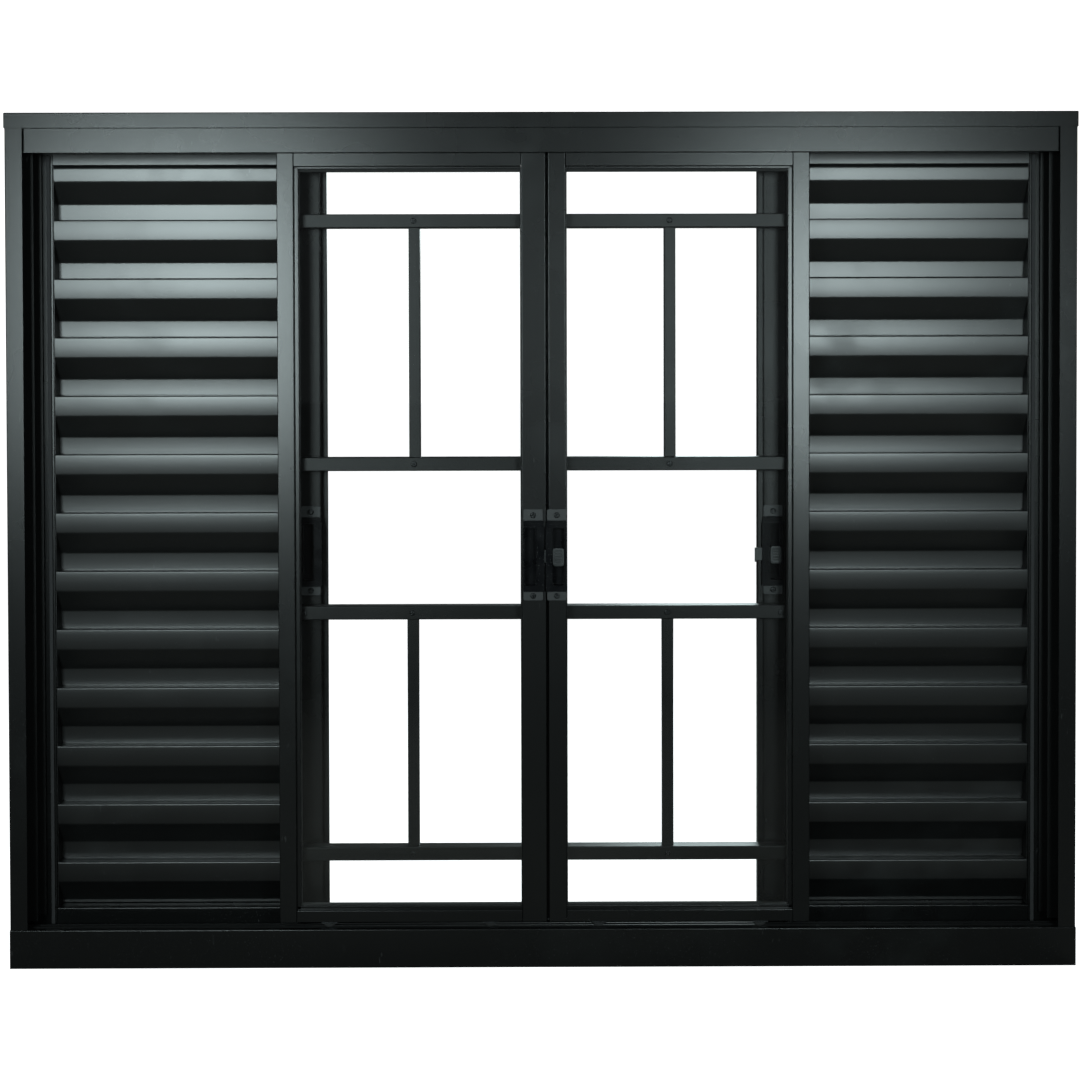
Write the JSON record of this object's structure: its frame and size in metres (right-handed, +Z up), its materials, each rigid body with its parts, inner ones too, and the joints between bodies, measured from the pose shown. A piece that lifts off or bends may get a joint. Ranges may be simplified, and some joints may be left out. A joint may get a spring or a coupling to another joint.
{
  "type": "sliding window with security grille",
  "caption": "Steel sliding window unit: folded frame, fixed barred security grille, glazed sashes on the room side, and fixed and sliding louvred shutters outside.",
  "frame": {"origin": "middle of the underside of the sill, at the middle of the frame's depth", "axes": "+X along the window's width to the right as seen from the room, +Y from the room to the outside along the frame's depth, +Z up"},
  "size_m": [1.5, 0.14, 1.2],
  "materials": {
    "black_steel": "satin powder coat",
    "clear_glass": "clear",
    "glazing_rubber": "matt",
    "handle_plastic": "fine grain",
    "latch_plastic": "fine grain",
    "roller_nylon": "plain"
  },
  "bodies": {
    "frame": {"frame_head": "black_steel", "frame_sill": "black_steel", "head_track": "black_steel", "sill_track": "black_steel", "frame_jamb_left": "black_steel", "frame_jamb_right": "black_steel", "side_guide_left": "black_steel", "side_guide_right": "black_steel", "fixed_louvre_left_slats": "black_steel", "fixed_louvre_left_outer_stile": "black_steel", "fixed_louvre_left_inner_stile": "black_steel", "grille_post_left": "black_steel", "fixed_louvre_right_slats": "black_steel", "fixed_louvre_right_outer_stile": "black_steel", "fixed_louvre_right_inner_stile": "black_steel", "grille_post_right": "black_steel", "grille_bar_1": "black_steel", "grille_bar_2": "black_steel", "grille_bar_3": "black_steel", "grille_bar_4": "black_steel", "grille_upright_upper_left": "black_steel", "grille_upright_upper_right": "black_steel", "grille_upright_lower_left": "black_steel", "grille_upright_lower_right": "black_steel"},
    "sash_left": {"sash_left_outer_stile": "black_steel", "sash_left_meeting_stile": "black_steel", "sash_left_top_rail": "black_steel", "sash_left_bottom_rail": "black_steel", "sash_left_glass": "clear_glass", "sash_left_glazing_bead": "glazing_rubber", "sash_left_handle": "handle_plastic"},
    "sash_right": {"sash_right_outer_stile": "black_steel", "sash_right_meeting_stile": "black_steel", "sash_right_top_rail": "black_steel", "sash_right_bottom_rail": "black_steel", "sash_right_glass": "clear_glass", "sash_right_glazing_bead": "glazing_rubber", "sash_right_handle": "handle_plastic"},
    "shutter_left": {"shutter_left_trailing_stile": "black_steel", "shutter_left_leading_stile": "black_steel", "shutter_left_top_rail": "black_steel", "shutter_left_bottom_rail": "black_steel", "shutter_left_slats": "black_steel", "shutter_left_handle": "handle_plastic"},
    "shutter_right": {"shutter_right_trailing_stile": "black_steel", "shutter_right_leading_stile": "black_steel", "shutter_right_top_rail": "black_steel", "shutter_right_bottom_rail": "black_steel", "shutter_right_slats": "black_steel", "shutter_right_handle": "handle_plastic"},
    "sash_right_latch": {"sash_right_latch": "latch_plastic"},
    "shutter_right_latch": {"shutter_right_latch": "latch_plastic"},
    "sash_left_roller_a": {"sash_left_roller_a": "roller_nylon"},
    "sash_left_roller_b": {"sash_left_roller_b": "roller_nylon"},
    "sash_right_roller_a": {"sash_right_roller_a": "roller_nylon"},
    "sash_right_roller_b": {"sash_right_roller_b": "roller_nylon"},
    "shutter_left_roller_a": {"shutter_left_roller_a": "roller_nylon"},
    "shutter_left_roller_b": {"shutter_left_roller_b": "roller_nylon"},
    "shutter_right_roller_a": {"shutter_right_roller_a": "roller_nylon"},
    "shutter_right_roller_b": {"shutter_right_roller_b": "roller_nylon"}
  },
  "joints": [
    {"name": "sash_left_slide", "type": "slide", "parent": "frame", "child": "sash_left", "axis": [-1, 0, 0], "range_m": [0, 0.366]},
    {"name": "sash_right_slide", "type": "slide", "parent": "frame", "child": "sash_right", "axis": [1, 0, 0], "range_m": [0, 0.366]},
    {"name": "shutter_left_slide", "type": "slide", "parent": "frame", "child": "shutter_left", "axis": [1, 0, 0], "range_m": [0, 0.3145]},
    {"name": "shutter_right_slide", "type": "slide", "parent": "frame", "child": "shutter_right", "axis": [-1, 0, 0], "range_m": [0, 0.3145]},
    {"name": "sash_right_latch_slide", "type": "slide", "parent": "sash_right", "child": "sash_right_latch", "axis": [0, 0, 1], "range_m": [-0.0042, 0]},
    {"name": "shutter_right_latch_slide", "type": "slide", "parent": "shutter_right", "child": "shutter_right_latch", "axis": [0, 0, 1], "range_m": [0, 0.0042]},
    {"name": "sash_left_roller_a_turn", "type": "hinge", "parent": "sash_left", "child": "sash_left_roller_a", "pos_m": [-0.3027, -0.048, 0.0606], "axis": [0, 1, 0], "continuous": true},
    {"name": "sash_left_roller_b_turn", "type": "hinge", "parent": "sash_left", "child": "sash_left_roller_b", "pos_m": [-0.0744, -0.048, 0.0606], "axis": [0, 1, 0], "continuous": true},
    {"name": "sash_right_roller_a_turn", "type": "hinge", "parent": "sash_right", "child": "sash_right_roller_a", "pos_m": [0.0789, -0.048, 0.0606], "axis": [0, 1, 0], "continuous": true},
    {"name": "sash_right_roller_b_turn", "type": "hinge", "parent": "sash_right", "child": "sash_right_roller_b", "pos_m": [0.3072, -0.048, 0.0606], "axis": [0, 1, 0], "continuous": true},
    {"name": "shutter_left_roller_a_turn", "type": "hinge", "parent": "shutter_left", "child": "shutter_left_roller_a", "pos_m": [-0.6577, 0.01, 0.0251], "axis": [0, 1, 0], "continuous": true},
    {"name": "shutter_left_roller_b_turn", "type": "hinge", "parent": "shutter_left", "child": "shutter_left_roller_b", "pos_m": [-0.396, 0.01, 0.0251], "axis": [0, 1, 0], "continuous": true},
    {"name": "shutter_right_roller_a_turn", "type": "hinge", "parent": "shutter_right", "child": "shutter_right_roller_a", "pos_m": [0.396, 0.01, 0.0251], "axis": [0, 1, 0], "continuous": true},
    {"name": "shutter_right_roller_b_turn", "type": "hinge", "parent": "shutter_right", "child": "shutter_right_roller_b", "pos_m": [0.6577, 0.01, 0.0251], "axis": [0, 1, 0], "continuous": true}
  ],
  "couplings": [
    {"joint": "sash_left_roller_a_turn", "follows": "sash_left_slide", "rad_per_m": -120.48},
    {"joint": "sash_left_roller_b_turn", "follows": "sash_left_slide", "rad_per_m": -120.48},
    {"joint": "sash_right_roller_a_turn", "follows": "sash_right_slide", "rad_per_m": 120.48},
    {"joint": "sash_right_roller_b_turn", "follows": "sash_right_slide", "rad_per_m": 120.48},
    {"joint": "shutter_left_roller_a_turn", "follows": "shutter_left_slide", "rad_per_m": 120.48},
    {"joint": "shutter_left_roller_b_turn", "follows": "shutter_left_slide", "rad_per_m": 120.48},
    {"joint": "shutter_right_roller_a_turn", "follows": "shutter_right_slide", "rad_per_m": -120.48},
    {"joint": "shutter_right_roller_b_turn", "follows": "shutter_right_slide", "rad_per_m": -120.48}
  ]
}
